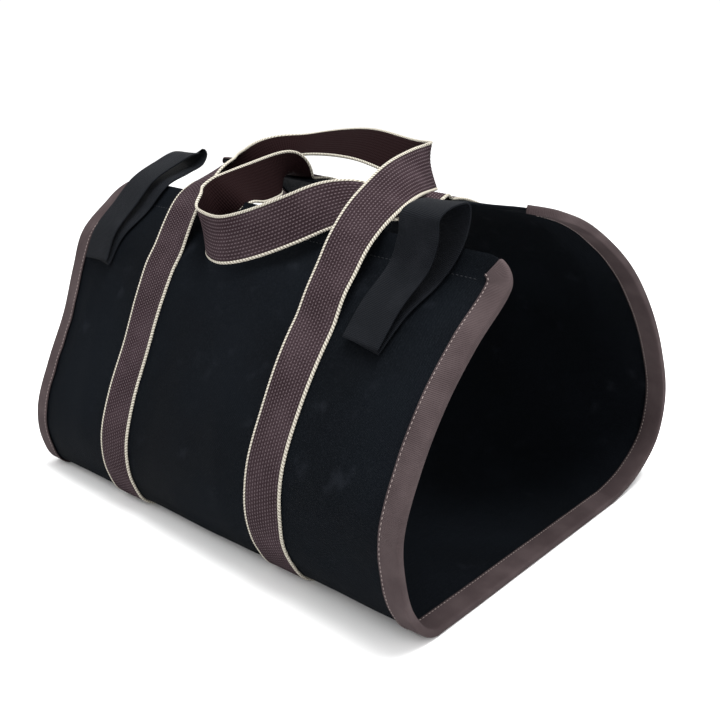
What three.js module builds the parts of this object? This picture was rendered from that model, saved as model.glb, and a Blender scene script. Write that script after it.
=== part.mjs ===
// Canvas log carrier: an open-ended canvas sling with bound long edges, two webbing straps that
// end in carrying handles, and two black side loops near the corners of the front panel.
// Millimetres. X runs along the tunnel (right end +X), the front panel faces -Y, +Z is up.

import * as THREE from 'three';

// Driving sizes
const CARRIER_WIDTH = 465;        // along X, over the bound edges
const CARRIER_DEPTH = 404;        // along Y, front belly to back belly
const CARRIER_HEIGHT = 293;       // along Z, base to the top of the back panel
const CANVAS_THICKNESS = 2;
const HEM_FOLD = 0.8;             // extra thickness of the doubled hem
const HEM_WIDTH = 25;
const CORNER_RADIUS = 24;
const BINDING_WIDTH = 17;         // shown on each face of the canvas
const BINDING_THICKNESS = 1;
const BINDING_START = 0.3;        // share of the corner arc that is left unbound at each hem
const WEBBING_WIDTH = 40;
const WEBBING_THICKNESS = 2;
const STRAP_SPACING = 198;        // centre to centre
const BASE_JOIN = 0.5;            // share of the base depth where front and back webbing meet
const LOOP_WIDTH = 36;
const LOOP_THICKNESS = 1.6;
const LOOP_DROP = 94;             // loop's sewn end below the hem
const CLEARANCE = 0.3;            // between two pieces that lie on one another
const STEP = 17;                  // distance between cross-sections along the cloth

// Sections round the carrier, from the front hem under the base to the back hem.
// y is a share of the depth from its middle, z a share of the height, at the right and left end.
// bend is the power of the blend from left to right, sag how far the middle hangs below the ends.
const SECTIONS = [
  { place: 'front hem',      rightY: -0.200, rightZ: 0.875, leftY: -0.185, leftZ: 0.925, bend: 1.0, sag: 0.000 },
  { place: 'front lip',      rightY: -0.222, rightZ: 0.808, leftY: -0.240, leftZ: 0.862, bend: 1.0, sag: 0.000 },
  { place: 'front shoulder', rightY: -0.312, rightZ: 0.710, leftY: -0.322, leftZ: 0.765, bend: 1.0, sag: 0.000 },
  { place: 'front upper',    rightY: -0.390, rightZ: 0.600, leftY: -0.357, leftZ: 0.650, bend: 1.0, sag: 0.000 },
  { place: 'front middle',   rightY: -0.455, rightZ: 0.460, leftY: -0.396, leftZ: 0.505, bend: 1.0, sag: 0.000 },
  { place: 'front belly',    rightY: -0.495, rightZ: 0.320, leftY: -0.447, leftZ: 0.355, bend: 1.0, sag: 0.000 },
  { place: 'front low',      rightY: -0.487, rightZ: 0.200, leftY: -0.489, leftZ: 0.200, bend: 1.0, sag: 0.000 },
  { place: 'front turn',     rightY: -0.458, rightZ: 0.089, leftY: -0.489, leftZ: 0.085, bend: 1.0, sag: 0.000 },
  { place: 'front toe',      rightY: -0.400, rightZ: 0.006, leftY: -0.460, leftZ: 0.006, bend: 1.0, sag: 0.000 },
  { place: 'base front',     rightY: -0.230, rightZ: 0.000, leftY: -0.260, leftZ: 0.000, bend: 1.0, sag: 0.000 },
  { place: 'base middle',    rightY: 0.020,  rightZ: 0.000, leftY: 0.000,  leftZ: 0.000, bend: 1.0, sag: 0.000 },
  { place: 'base back',      rightY: 0.270,  rightZ: 0.000, leftY: 0.260,  leftZ: 0.000, bend: 1.0, sag: 0.000 },
  { place: 'back heel',      rightY: 0.390,  rightZ: 0.040, leftY: 0.390,  leftZ: 0.035, bend: 1.0, sag: 0.000 },
  { place: 'back turn',      rightY: 0.475,  rightZ: 0.125, leftY: 0.475,  leftZ: 0.120, bend: 1.0, sag: 0.000 },
  { place: 'back belly',     rightY: 0.495,  rightZ: 0.250, leftY: 0.500,  leftZ: 0.250, bend: 1.0, sag: 0.000 },
  { place: 'back lower',     rightY: 0.440,  rightZ: 0.430, leftY: 0.480,  leftZ: 0.420, bend: 1.0, sag: 0.000 },
  { place: 'back middle',    rightY: 0.355,  rightZ: 0.595, leftY: 0.430,  leftZ: 0.590, bend: 1.0, sag: 0.000 },
  { place: 'back upper',     rightY: 0.215,  rightZ: 0.770, leftY: 0.360,  leftZ: 0.755, bend: 1.0, sag: 0.000 },
  { place: 'back shoulder',  rightY: 0.050,  rightZ: 0.900, leftY: 0.260,  leftZ: 0.885, bend: 1.6, sag: 0.010 },
  { place: 'back lip',       rightY: -0.070, rightZ: 0.955, leftY: 0.160,  leftZ: 0.945, bend: 2.6, sag: 0.030 },
  { place: 'back hem',       rightY: -0.165, rightZ: 0.985, leftY: 0.085,  leftZ: 0.965, bend: 3.5, sag: 0.045 },
];

// Dents and swells of the cloth. x is a share of the width from its middle, round a share of the
// way from the front hem to the back hem, swell a share of the height, outward if positive.
const DENTS = [
  { place: 'front belly between straps', x: 0.00,  round: 0.24, wide: 0.14, long: 0.04, swell: 0.008 },
  { place: 'front dip beside the loop',  x: 0.34,  round: 0.10, wide: 0.09, long: 0.05, swell: -0.010 },
  { place: 'front swell at the left',    x: -0.36, round: 0.24, wide: 0.12, long: 0.04, swell: 0.010 },
  { place: 'back hollow',                x: 0.15,  round: 0.71, wide: 0.30, long: 0.03, swell: -0.016 },
  { place: 'back ridge over the top',    x: -0.10, round: 0.88, wide: 0.35, long: 0.03, swell: 0.012 },
];

// Handle routes from the right strap to the left strap. x is a share of the strap spacing, y of
// the depth and z of the height, for the middle of the webbing. acrossX, acrossY and acrossZ point
// from the webbing's inner edge to its outer edge, as shares of its width.
const FRONT_HANDLE = [
  { x: 0.497, y: -0.224, z: 0.925, acrossX: 1.00, acrossY: 0.02, acrossZ: -0.08 },
  { x: 0.492, y: -0.208, z: 0.958, acrossX: 0.97, acrossY: 0.05, acrossZ: -0.25 },
  { x: 0.480, y: -0.165, z: 0.980, acrossX: 0.92, acrossY: 0.15, acrossZ: -0.36 },
  { x: 0.465, y: -0.077, z: 1.005, acrossX: 0.80, acrossY: 0.10, acrossZ: -0.58 },
  { x: 0.434, y: 0.002, z: 1.024, acrossX: 0.55, acrossY: 0.00, acrossZ: -0.83 },
  { x: 0.409, y: 0.047, z: 1.022, acrossX: 0.38, acrossY: -0.12, acrossZ: -0.92 },
  { x: 0.364, y: 0.067, z: 1.030, acrossX: 0.22, acrossY: -0.30, acrossZ: -0.93 },
  { x: 0.263, y: 0.067, z: 1.039, acrossX: 0.08, acrossY: -0.55, acrossZ: -0.83 },
  { x: 0.126, y: 0.077, z: 1.042, acrossX: 0.00, acrossY: -0.73, acrossZ: -0.69 },
  { x: -0.061, y: 0.094, z: 1.052, acrossX: 0.00, acrossY: -0.76, acrossZ: -0.65 },
  { x: -0.313, y: 0.123, z: 1.052, acrossX: 0.00, acrossY: -0.81, acrossZ: -0.58 },
  { x: -0.530, y: 0.124, z: 1.035, acrossX: -0.10, acrossY: -0.89, acrossZ: -0.44 },
  { x: -0.657, y: 0.082, z: 1.008, acrossX: -0.46, acrossY: -0.76, acrossZ: -0.46 },
  { x: -0.692, y: 0.002, z: 0.991, acrossX: -0.80, acrossY: -0.39, acrossZ: -0.46 },
  { x: -0.611, y: -0.092, z: 0.981, acrossX: -0.90, acrossY: -0.12, acrossZ: -0.43 },
  { x: -0.525, y: -0.156, z: 0.970, acrossX: -0.93, acrossY: 0.05, acrossZ: -0.35 },
];
const BACK_HANDLE = [
  { x: 0.500, y: -0.017, z: 0.960, acrossX: 1.00, acrossY: 0.00, acrossZ: -0.05 },
  { x: 0.505, y: -0.064, z: 0.943, acrossX: 0.96, acrossY: -0.10, acrossZ: -0.25 },
  { x: 0.460, y: -0.119, z: 0.938, acrossX: 0.81, acrossY: -0.30, acrossZ: -0.50 },
  { x: 0.374, y: -0.158, z: 0.957, acrossX: 0.72, acrossY: -0.30, acrossZ: -0.62 },
  { x: 0.285, y: -0.208, z: 0.945, acrossX: 0.52, acrossY: -0.25, acrossZ: -0.81 },
  { x: 0.182, y: -0.260, z: 0.902, acrossX: 0.36, acrossY: -0.22, acrossZ: -0.91 },
  { x: 0.043, y: -0.307, z: 0.859, acrossX: 0.15, acrossY: -0.22, acrossZ: -0.96 },
  { x: -0.076, y: -0.329, z: 0.834, acrossX: 0.10, acrossY: -0.12, acrossZ: -0.99 },
  { x: -0.202, y: -0.319, z: 0.834, acrossX: 0.14, acrossY: -0.05, acrossZ: -0.99 },
  { x: -0.283, y: -0.318, z: 0.856, acrossX: 0.10, acrossY: 0.02, acrossZ: -0.99 },
  { x: -0.333, y: -0.280, z: 0.918, acrossX: -0.11, acrossY: 0.40, acrossZ: -0.91 },
  { x: -0.348, y: -0.222, z: 0.982, acrossX: -0.23, acrossY: 0.88, acrossZ: -0.35 },
  { x: -0.372, y: -0.146, z: 0.970, acrossX: -0.22, acrossY: 0.50, acrossZ: -0.84 },
  { x: -0.424, y: -0.077, z: 0.946, acrossX: 0.00, acrossY: 0.10, acrossZ: -1.00 },
  { x: -0.444, y: -0.012, z: 0.940, acrossX: -0.20, acrossY: 0.00, acrossZ: -0.98 },
  { x: -0.470, y: 0.037, z: 0.940, acrossX: -0.71, acrossY: 0.00, acrossZ: -0.71 },
];

const HALF_WIDTH = CARRIER_WIDTH / 2;
const BINDING_LIFT = CANVAS_THICKNESS / 2 + HEM_FOLD + CLEARANCE;
const WEBBING_LIFT = CANVAS_THICKNESS / 2 + CLEARANCE;
const STRAP_INNER = (STRAP_SPACING - WEBBING_WIDTH) / 2;
const STRAP_OUTER = (STRAP_SPACING + WEBBING_WIDTH) / 2;

// Cloth surface: a point of the canvas's middle surface, and its outward direction.

const curves = new Map();

function sectionCurve(x) {
  if (!curves.has(x)) {
    const share = x / CARRIER_WIDTH + 0.5;
    const points = SECTIONS.map((row) => {
      const blend = Math.max(share, 0) ** row.bend;
      const y = row.leftY + (row.rightY - row.leftY) * blend;
      const z = row.leftZ + (row.rightZ - row.leftZ) * blend - row.sag * 4 * share * (1 - share);
      return new THREE.Vector3(x, y * CARRIER_DEPTH, z * CARRIER_HEIGHT);
    });
    curves.set(x, new THREE.CatmullRomCurve3(points, false, 'centripetal'));
  }
  return curves.get(x);
}

function plainPoint(x, t) {
  const point = sectionCurve(x).getPoint(t);
  point.z = Math.max(point.z, 0);
  return point;
}

// Distance from the front hem, along the middle section, to the curve parameter and back.
const SAMPLES = 400;
const lengths = [0];
for (let i = 1; i <= SAMPLES; i += 1) {
  const step = plainPoint(0, i / SAMPLES).distanceTo(plainPoint(0, (i - 1) / SAMPLES));
  lengths.push(lengths[i - 1] + step);
}
const CLOTH_LENGTH = lengths[SAMPLES];

function parameterAt(distance) {
  const wanted = Math.min(Math.max(distance, 0), CLOTH_LENGTH);
  let i = 1;
  while (i < SAMPLES && lengths[i] < wanted) i += 1;
  const share = (wanted - lengths[i - 1]) / (lengths[i] - lengths[i - 1]);
  return (i - 1 + share) / SAMPLES;
}

function swellAt(x, distance) {
  let swell = 0;
  for (const dent of DENTS) {
    const across = (x / CARRIER_WIDTH - dent.x) / dent.wide;
    const along = (distance / CLOTH_LENGTH - dent.round) / dent.long;
    swell += dent.swell * CARRIER_HEIGHT * Math.exp(-across * across - along * along);
  }
  return swell;
}

function outward(pointAt, x, distance) {
  const reach = 2;
  const from = Math.max(distance - reach, 0);
  const to = Math.min(distance + reach, CLOTH_LENGTH);
  const along = pointAt(x, to).sub(pointAt(x, from));
  const across = pointAt(x + reach, distance).sub(pointAt(x - reach, distance));
  return along.cross(across).normalize();
}

const flatCloth = (x, distance) => plainPoint(x, parameterAt(distance));

function clothPoint(x, distance) {
  const normal = outward(flatCloth, x, distance);
  return flatCloth(x, distance).addScaledVector(normal, swellAt(x, distance));
}

function liftedPoint(x, distance, lift) {
  return clothPoint(x, distance).addScaledVector(outward(clothPoint, x, distance), lift);
}

// Stations along the cloth: close together in the rounded corners, then STEP apart.
const ARC_STEPS = 6;

function arcStation(i) {
  const angle = (i / ARC_STEPS) * Math.PI / 2;
  return { inset: CORNER_RADIUS * (1 - Math.sin(angle)), drop: CORNER_RADIUS * (1 - Math.cos(angle)), angle };
}

function clothStations() {
  const arc = [];
  for (let i = 0; i <= ARC_STEPS; i += 1) arc.push(arcStation(i));
  const straight = CLOTH_LENGTH - 2 * CORNER_RADIUS;
  const count = Math.max(8, Math.round(straight / STEP));
  const stations = arc.map((a) => ({ distance: a.drop, inset: a.inset }));
  for (let i = 1; i < count; i += 1) {
    stations.push({ distance: CORNER_RADIUS + (straight * i) / count, inset: 0 });
  }
  for (const a of arc.reverse()) stations.push({ distance: CLOTH_LENGTH - a.drop, inset: a.inset });
  return stations;
}

const STATIONS = clothStations();

// Closed body between a grid of outer points and the matching grid of inner points.
function shellGeometry(outer, inner) {
  const rows = outer.length;
  const columns = outer[0].length;
  const positions = [];
  for (const grid of [outer, inner]) {
    for (const row of grid) for (const p of row) positions.push(p.x, p.y, p.z);
  }
  const top = (r, c) => r * columns + c;
  const under = (r, c) => (rows + r) * columns + c;
  const index = [];
  const quad = (a, b, c, d) => index.push(a, b, c, a, c, d);
  for (let r = 0; r + 1 < rows; r += 1) {
    for (let c = 0; c + 1 < columns; c += 1) {
      quad(top(r, c), top(r + 1, c), top(r + 1, c + 1), top(r, c + 1));
      quad(under(r, c), under(r, c + 1), under(r + 1, c + 1), under(r + 1, c));
    }
    quad(top(r + 1, 0), top(r, 0), under(r, 0), under(r + 1, 0));
    quad(top(r, columns - 1), top(r + 1, columns - 1), under(r + 1, columns - 1), under(r, columns - 1));
  }
  for (let c = 0; c + 1 < columns; c += 1) {
    quad(top(0, c), top(0, c + 1), under(0, c + 1), under(0, c));
    quad(top(rows - 1, c + 1), top(rows - 1, c), under(rows - 1, c), under(rows - 1, c + 1));
  }
  const geometry = new THREE.BufferGeometry();
  geometry.setAttribute('position', new THREE.Float32BufferAttribute(positions, 3));
  geometry.setIndex(index);
  return geometry;
}

// Closed body through a list of closed outlines with the same number of points.
function loftGeometry(outlines) {
  const sides = outlines[0].length;
  const positions = outlines.flat().flatMap((p) => [p.x, p.y, p.z]);
  const index = [];
  for (let r = 0; r + 1 < outlines.length; r += 1) {
    for (let k = 0; k < sides; k += 1) {
      const a = r * sides + k;
      const b = r * sides + ((k + 1) % sides);
      index.push(a, b, b + sides, a, b + sides, a + sides);
    }
  }
  return { positions, index, sides, rows: outlines.length };
}

// Canvas panel, with its hems doubled on the inner face.

function canvasColumns(inset) {
  const flat = HALF_WIDTH - CORNER_RADIUS - BINDING_WIDTH - 3;
  const edge = HALF_WIDTH - inset;
  const right = [STRAP_INNER / 2, STRAP_INNER, STRAP_OUTER, (STRAP_OUTER + flat) / 2, flat,
    edge - BINDING_WIDTH, edge];
  return [...right.map((x) => -x).reverse(), 0, ...right];
}

function hemAt(column, columns, distance) {
  const fromHem = Math.min(distance, CLOTH_LENGTH - distance);
  const fromEnd = Math.min(column, columns - 1 - column);
  return fromHem < HEM_WIDTH && fromEnd > 2 ? HEM_FOLD : 0;
}

function canvasGeometry() {
  const outer = [];
  const inner = [];
  for (const { distance, inset } of STATIONS) {
    const columns = canvasColumns(inset);
    const half = CANVAS_THICKNESS / 2;
    outer.push(columns.map((x) => liftedPoint(x, distance, half)));
    inner.push(columns.map((x, c) => liftedPoint(x, distance, -half - hemAt(c, columns.length, distance))));
  }
  return shellGeometry(outer, inner);
}

// Binding tape, folded over one long edge and round both of its corners.

function bindingStations() {
  const first = Math.ceil(BINDING_START * ARC_STEPS);
  const stations = [];
  for (let i = first; i < ARC_STEPS; i += 1) {
    const { angle, drop, inset } = arcStation(i);
    stations.push({ edge: HALF_WIDTH - inset, distance: drop, inward: Math.sin(angle), along: Math.cos(angle) });
  }
  for (const { distance, inset } of STATIONS) {
    if (inset < 1e-6) stations.push({ edge: HALF_WIDTH, distance, inward: 1, along: 0 });
  }
  for (let i = ARC_STEPS - 1; i >= first; i -= 1) {
    const { angle, drop, inset } = arcStation(i);
    stations.push({
      edge: HALF_WIDTH - inset,
      distance: CLOTH_LENGTH - drop,
      inward: Math.sin(angle),
      along: -Math.cos(angle),
    });
  }
  return stations;
}

function bindingGeometry(side) {
  const reach = CLEARANCE + BINDING_THICKNESS;
  const lifts = { near: BINDING_LIFT, far: BINDING_LIFT + BINDING_THICKNESS };
  const section = [
    { into: BINDING_WIDTH, lift: lifts.near },
    { into: -CLEARANCE, lift: lifts.near },
    { into: -CLEARANCE, lift: -lifts.near },
    { into: BINDING_WIDTH, lift: -lifts.near },
    { into: BINDING_WIDTH, lift: -lifts.far },
    { into: -reach, lift: -lifts.far },
    { into: -reach, lift: lifts.far },
    { into: BINDING_WIDTH, lift: lifts.far },
  ];
  const outlines = bindingStations().map(({ edge, distance, inward, along }) => {
    const start = clothPoint(side * edge, distance);
    const normal = outward(clothPoint, side * edge, distance);
    const inside = clothPoint(side * (edge - inward), distance + along).sub(start).normalize();
    return section.map(({ into, lift }) => {
      if (into < 0) return start.clone().addScaledVector(inside, into).addScaledVector(normal, lift);
      return liftedPoint(side * (edge - into * inward), distance + into * along, lift);
    });
  });
  const { positions, index, sides, rows } = loftGeometry(outlines);
  const caps = [[0, 1, 6], [0, 6, 7], [1, 2, 5], [1, 5, 6], [2, 3, 4], [2, 4, 5]];
  const last = (rows - 1) * sides;
  for (const [a, b, c] of caps) {
    index.push(a, c, b);
    index.push(last + a, last + b, last + c);
  }
  return closedGeometry(positions, index, side < 0);
}

function closedGeometry(positions, index, flipped) {
  const triangles = [];
  for (let i = 0; i < index.length; i += 3) {
    const [a, b, c] = index.slice(i, i + 3);
    triangles.push(...(flipped ? [a, c, b] : [a, b, c]));
  }
  const geometry = new THREE.BufferGeometry();
  geometry.setAttribute('position', new THREE.Float32BufferAttribute(positions, 3));
  geometry.setIndex(triangles);
  return geometry;
}

// Webbing: a band given by rows of its two edges and its outward direction.

function bandGeometry(rows, thickness) {
  const half = thickness / 2;
  const side = (sign) => rows.map(({ left, right, out }) => [
    left.clone().addScaledVector(out, sign * half),
    right.clone().addScaledVector(out, sign * half),
  ]);
  return shellGeometry(side(1), side(-1));
}

// Rows of one strap on the cloth, from its handle end at one hem to the middle of the base.
function strapRows(side, fromBack) {
  const lift = WEBBING_LIFT + WEBBING_THICKNESS / 2;
  const join = CLOTH_LENGTH * BASE_JOIN;
  const rows = [];
  for (const { distance } of STATIONS) {
    const within = fromBack ? distance > join + STEP / 2 : distance < join - STEP / 2;
    if (within) rows.push(distance);
  }
  rows.push(join + (fromBack ? CLEARANCE : -CLEARANCE));
  rows.sort((a, b) => (fromBack ? b - a : a - b));
  return rows.map((distance) => {
    const low = liftedPoint(side * STRAP_INNER, distance, lift);
    const high = liftedPoint(side * STRAP_OUTER, distance, lift);
    return { inner: low, outer: high, out: outward(clothPoint, side * STRAP_SPACING / 2, distance) };
  });
}

// Rows of the free handle, through its table, square to its own route.
function handleRows(table, before, after) {
  const middles = [before.middle, ...table.map((row) => new THREE.Vector3(
    row.x * STRAP_SPACING, row.y * CARRIER_DEPTH, row.z * CARRIER_HEIGHT)), after.middle];
  const acrosses = [before.across, ...table.map((row) => new THREE.Vector3(
    row.acrossX, row.acrossY, row.acrossZ)), after.across];
  const route = new THREE.CatmullRomCurve3(middles, false, 'centripetal');
  const turn = new THREE.CatmullRomCurve3(acrosses, false, 'centripetal');
  const spans = middles.length - 1;
  const perSpan = 3;
  const rows = [];
  for (let i = 1; i < spans * perSpan; i += 1) {
    const t = i / (spans * perSpan);
    const tangent = route.getTangent(t);
    const across = turn.getPoint(t);
    across.addScaledVector(tangent, -across.dot(tangent)).normalize();
    const middle = route.getPoint(t);
    const out = across.clone().cross(tangent).normalize();
    rows.push({
      inner: middle.clone().addScaledVector(across, -WEBBING_WIDTH / 2),
      outer: middle.clone().addScaledVector(across, WEBBING_WIDTH / 2),
      out,
    });
  }
  return rows;
}

function strapEnd(row) {
  return {
    middle: row.inner.clone().lerp(row.outer, 0.5),
    across: row.outer.clone().sub(row.inner).normalize(),
  };
}

function webbingGeometry(table, fromBack) {
  const right = strapRows(1, fromBack);
  const left = strapRows(-1, fromBack);
  const free = handleRows(table, strapEnd(right[0]), strapEnd(left[0]));
  const facing = fromBack ? -1 : 1;
  for (const row of free) row.out.multiplyScalar(facing);
  const rows = [...right.reverse(), ...free, ...left].map((row) => (fromBack
    ? { left: row.inner, right: row.outer, out: row.out }
    : { left: row.outer, right: row.inner, out: row.out }));
  return bandGeometry(rows, WEBBING_THICKNESS);
}

// Side loops: a band sewn to the front panel at both ends, one end over the other. rise is a share
// of the drop from the hem to the sewn end, past 1 above the hem; lean and lift are shares of the
// loop width. Above the hem the band falls back by its own angle from the level.
const LOOPS = {
  right: {
    inset: 82,
    fall: 66,
    route: [
      { rise: 0.00, lean: 0.00, lift: 0.05 },
      { rise: 0.30, lean: 0.15, lift: 0.05 },
      { rise: 0.65, lean: 0.38, lift: 0.05 },
      { rise: 0.98, lean: 0.58, lift: 0.04 },
      { rise: 1.20, lean: 0.60, lift: 0.06 },
      { rise: 1.30, lean: 0.60, lift: 0.22 },
      { rise: 1.24, lean: 0.52, lift: 0.58 },
      { rise: 1.12, lean: 0.45, lift: 0.80 },
      { rise: 0.95, lean: 0.40, lift: 0.62 },
      { rise: 0.65, lean: 0.24, lift: 0.38 },
      { rise: 0.30, lean: 0.08, lift: 0.22 },
      { rise: 0.00, lean: 0.00, lift: 0.13 },
    ],
  },
  left: {
    inset: 42,
    fall: 16,
    route: [
      { rise: 0.00, lean: 0.04, lift: 0.02 },
      { rise: 0.30, lean: 0.16, lift: 0.02 },
      { rise: 0.65, lean: 0.30, lift: 0.03 },
      { rise: 0.98, lean: 0.36, lift: 0.05 },
      { rise: 1.25, lean: 0.34, lift: 0.06 },
      { rise: 1.46, lean: 0.30, lift: 0.10 },
      { rise: 1.54, lean: 0.24, lift: 0.25 },
      { rise: 1.44, lean: 0.16, lift: 0.38 },
      { rise: 1.20, lean: 0.08, lift: 0.32 },
      { rise: 0.95, lean: 0.02, lift: 0.26 },
      { rise: 0.65, lean: -0.02, lift: 0.22 },
      { rise: 0.30, lean: -0.02, lift: 0.15 },
      { rise: 0.00, lean: 0.00, lift: 0.10 },
    ],
  },
};

function loopPoint(x, distance, lift, fall) {
  if (distance >= 0) return liftedPoint(x, distance, lift);
  const back = new THREE.Vector3(0, Math.cos(fall), Math.sin(fall));
  const upward = new THREE.Vector3(0, -Math.sin(fall), Math.cos(fall));
  return clothPoint(x, 0).addScaledVector(back, -distance).addScaledVector(upward, lift);
}

function loopGeometry(side, { inset, fall, route: table }) {
  const base = side * (HALF_WIDTH - inset);
  const points = table.map(({ rise, lean, lift }) => {
    const distance = LOOP_DROP * (1 - rise);
    const height = CANVAS_THICKNESS / 2 + CLEARANCE + LOOP_THICKNESS / 2 + lift * LOOP_WIDTH;
    return loopPoint(base + lean * LOOP_WIDTH, distance, height, THREE.MathUtils.degToRad(fall));
  });
  const route = new THREE.CatmullRomCurve3(points, false, 'centripetal');
  const count = (points.length - 1) * 3;
  const rows = [];
  for (let i = 0; i <= count; i += 1) {
    const tangent = route.getTangent(i / count);
    const middle = route.getPoint(i / count);
    const across = new THREE.Vector3(1, 0, 0);
    across.addScaledVector(tangent, -across.dot(tangent)).normalize();
    const out = tangent.clone().cross(across).normalize();
    rows.push({
      left: middle.clone().addScaledVector(across, -LOOP_WIDTH / 2),
      right: middle.clone().addScaledVector(across, LOOP_WIDTH / 2),
      out,
    });
  }
  return bandGeometry(rows, LOOP_THICKNESS);
}

// Materials and assembly.

const canvasFinish = new THREE.MeshStandardMaterial({ color: 0x16181c, roughness: 0.92 });
const bindingFinish = new THREE.MeshStandardMaterial({ color: 0x5c4f52, roughness: 0.85 });
const webbingFinish = new THREE.MeshStandardMaterial({ color: 0x4b3c3e, roughness: 0.8 });
const loopFinish = new THREE.MeshStandardMaterial({ color: 0x1b1d21, roughness: 0.8 });

function piece(name, geometry, material) {
  const mesh = new THREE.Mesh(geometry, material);
  mesh.name = name;
  return mesh;
}

const carrier = new THREE.Group();
carrier.add(
  piece('canvas_panel', canvasGeometry(), canvasFinish),
  piece('binding_right', bindingGeometry(1), bindingFinish),
  piece('binding_left', bindingGeometry(-1), bindingFinish),
  piece('front_webbing', webbingGeometry(FRONT_HANDLE, false), webbingFinish),
  piece('back_webbing', webbingGeometry(BACK_HANDLE, true), webbingFinish),
  piece('side_loop_right', loopGeometry(1, LOOPS.right), loopFinish),
  piece('side_loop_left', loopGeometry(-1, LOOPS.left), loopFinish),
);

// The origin is the middle of the whole carrier's box, at its bottom.
carrier.updateMatrixWorld(true);
const box = new THREE.Box3().setFromObject(carrier);
const middle = box.getCenter(new THREE.Vector3());
carrier.position.set(-middle.x, -middle.y, -box.min.z);

export default carrier;
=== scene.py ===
# %% [markdown]
# A canvas log carrier: one long sheet of heavy canvas with bound ends, two webbing straps that make
# the handles, and two black side loops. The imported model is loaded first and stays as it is; every
# soft piece is then worked out again on a finer grid, from the same sizes, and stands for its node.

# %% The frame
import math
import bpy
import numpy as np
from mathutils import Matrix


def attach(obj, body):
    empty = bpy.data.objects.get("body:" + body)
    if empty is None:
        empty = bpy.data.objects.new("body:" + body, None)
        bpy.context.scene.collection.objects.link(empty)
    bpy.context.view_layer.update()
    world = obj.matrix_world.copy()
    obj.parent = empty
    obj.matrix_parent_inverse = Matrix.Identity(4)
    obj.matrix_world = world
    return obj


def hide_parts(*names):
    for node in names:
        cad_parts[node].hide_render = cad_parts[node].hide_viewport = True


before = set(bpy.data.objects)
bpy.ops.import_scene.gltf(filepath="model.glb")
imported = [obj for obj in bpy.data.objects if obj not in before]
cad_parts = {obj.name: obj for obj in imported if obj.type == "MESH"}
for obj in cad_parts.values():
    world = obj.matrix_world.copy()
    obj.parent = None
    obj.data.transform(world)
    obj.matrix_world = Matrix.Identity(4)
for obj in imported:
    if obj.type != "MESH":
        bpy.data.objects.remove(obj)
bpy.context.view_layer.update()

# %% [markdown]
# The camera comes early, so that each piece can be judged from the same place. It stands to the
# right of the front panel and looks slightly down. A long-ish lens keeps the ends in proportion.

# %% Camera
CAMERA_PLACE = (0.5396, -0.5769, 0.3853)
CAMERA_TURN = 42.27       # degrees round from the front
CAMERA_DOWN = 18.97       # degrees below level
CAMERA_LENS = 43.28       # millimetres, on a 36 mm sensor

camera = bpy.data.objects.new("camera", bpy.data.cameras.new("camera"))
camera.location = CAMERA_PLACE
camera.rotation_euler = (math.radians(90 - CAMERA_DOWN), 0, math.radians(CAMERA_TURN))
camera.data.lens = CAMERA_LENS
camera.data.sensor_width = 36
bpy.context.scene.collection.objects.link(camera)
bpy.context.scene.camera = camera

# %% [markdown]
# The sizes are the real ones in millimetres, and meshes are made in metres at the last moment.
# Each row of the section table is one line of the cloth that runs along the carrier, given by its
# place at the right and the left end, so the whole sheet is a smooth curve swept between two ends.

# %% Sizes
MM = 0.001
WIDTH, DEPTH, HEIGHT = 465.0, 404.0, 293.0
HALF_WIDTH = WIDTH / 2
CANVAS = 2.0              # thickness
HEM_FOLD, HEM_WIDTH = 0.8, 25.0
CORNER = 24.0             # radius of the rounded corners
BINDING_WIDTH, BINDING_THICKNESS = 17.0, 1.0
WEBBING_WIDTH, WEBBING = 40.0, 2.0
STRAP_SPACING = 198.0
LOOP_WIDTH, LOOP, LOOP_DROP = 36.0, 1.6, 94.0
CLEARANCE = 0.3
SHIFT = np.array([0.0, -0.72, 3.35])   # puts the origin in the middle of the box, at its bottom

# rows: right y, right z, left y, left z, power of the blend, sag of the middle
SECTIONS = np.array([
    [-0.200, 0.875, -0.185, 0.925, 1.0, 0.000],   # front hem
    [-0.222, 0.808, -0.240, 0.862, 1.0, 0.000],
    [-0.312, 0.710, -0.322, 0.765, 1.0, 0.000],   # front shoulder
    [-0.390, 0.600, -0.357, 0.650, 1.0, 0.000],
    [-0.455, 0.460, -0.396, 0.505, 1.0, 0.000],
    [-0.495, 0.320, -0.447, 0.355, 1.0, 0.000],   # front belly
    [-0.487, 0.200, -0.489, 0.200, 1.0, 0.000],
    [-0.458, 0.089, -0.489, 0.085, 1.0, 0.000],
    [-0.400, 0.006, -0.460, 0.006, 1.0, 0.000],   # front toe
    [-0.230, 0.000, -0.260, 0.000, 1.0, 0.000],
    [0.020, 0.000, 0.000, 0.000, 1.0, 0.000],     # base
    [0.270, 0.000, 0.260, 0.000, 1.0, 0.000],
    [0.390, 0.040, 0.390, 0.035, 1.0, 0.000],     # back heel
    [0.475, 0.125, 0.475, 0.120, 1.0, 0.000],
    [0.495, 0.250, 0.500, 0.250, 1.0, 0.000],     # back belly
    [0.440, 0.430, 0.480, 0.420, 1.0, 0.000],
    [0.355, 0.595, 0.430, 0.590, 1.0, 0.000],
    [0.215, 0.770, 0.360, 0.755, 1.0, 0.000],
    [0.050, 0.900, 0.260, 0.885, 1.6, 0.010],     # back shoulder
    [-0.070, 0.955, 0.160, 0.945, 2.6, 0.030],
    [-0.165, 0.985, 0.085, 0.965, 3.5, 0.045],    # back hem
])
LAST = len(SECTIONS) - 1

# rows: x, round, wide, long (shares of the sheet), swell (share of the height)
DENTS = np.array([
    [0.00, 0.24, 0.14, 0.04, 0.008],
    [0.34, 0.10, 0.09, 0.05, -0.010],
    [-0.36, 0.24, 0.12, 0.04, 0.010],
    [0.15, 0.71, 0.30, 0.03, -0.016],
    [-0.10, 0.88, 0.35, 0.03, 0.012],
])

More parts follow.
